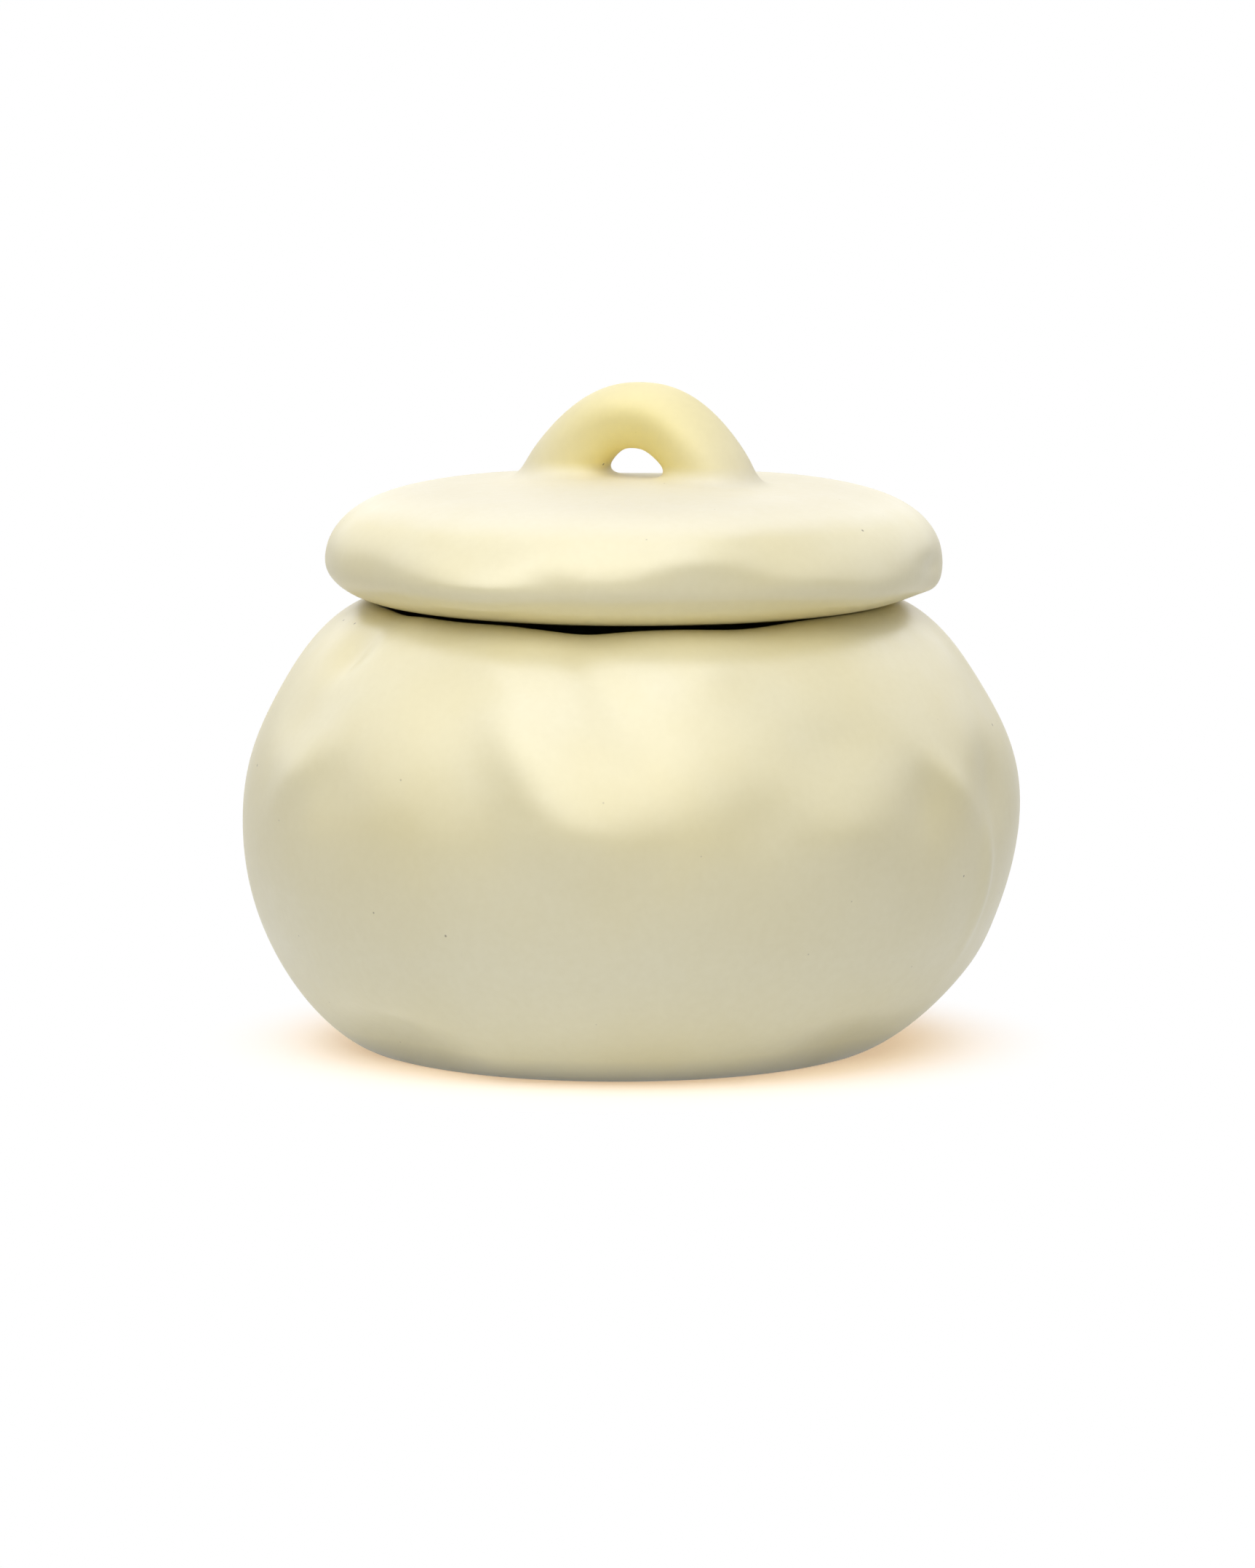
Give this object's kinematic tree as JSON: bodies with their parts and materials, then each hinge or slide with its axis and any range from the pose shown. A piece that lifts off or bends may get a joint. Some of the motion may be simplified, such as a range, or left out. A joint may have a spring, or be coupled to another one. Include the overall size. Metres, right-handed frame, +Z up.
{
  "type": "lidded ceramic jar",
  "caption": "Squat hand-pinched stoneware jar in satin butter-yellow glaze, with a thick cushion-shaped lid that rests loose on the rim and has a looped handle.",
  "frame": {"origin": "on the surface that the jar stands on, under the middle of its belly", "axes": "+Z up, -Y the front that the picture shows, +X to the right seen from the front"},
  "size_m": [0.1402, 0.1402, 0.1197],
  "materials": {
    "glaze": "satin"
  },
  "bodies": {
    "root": {"jar": "glaze", "lid": "glaze"}
  },
  "joints": []
}
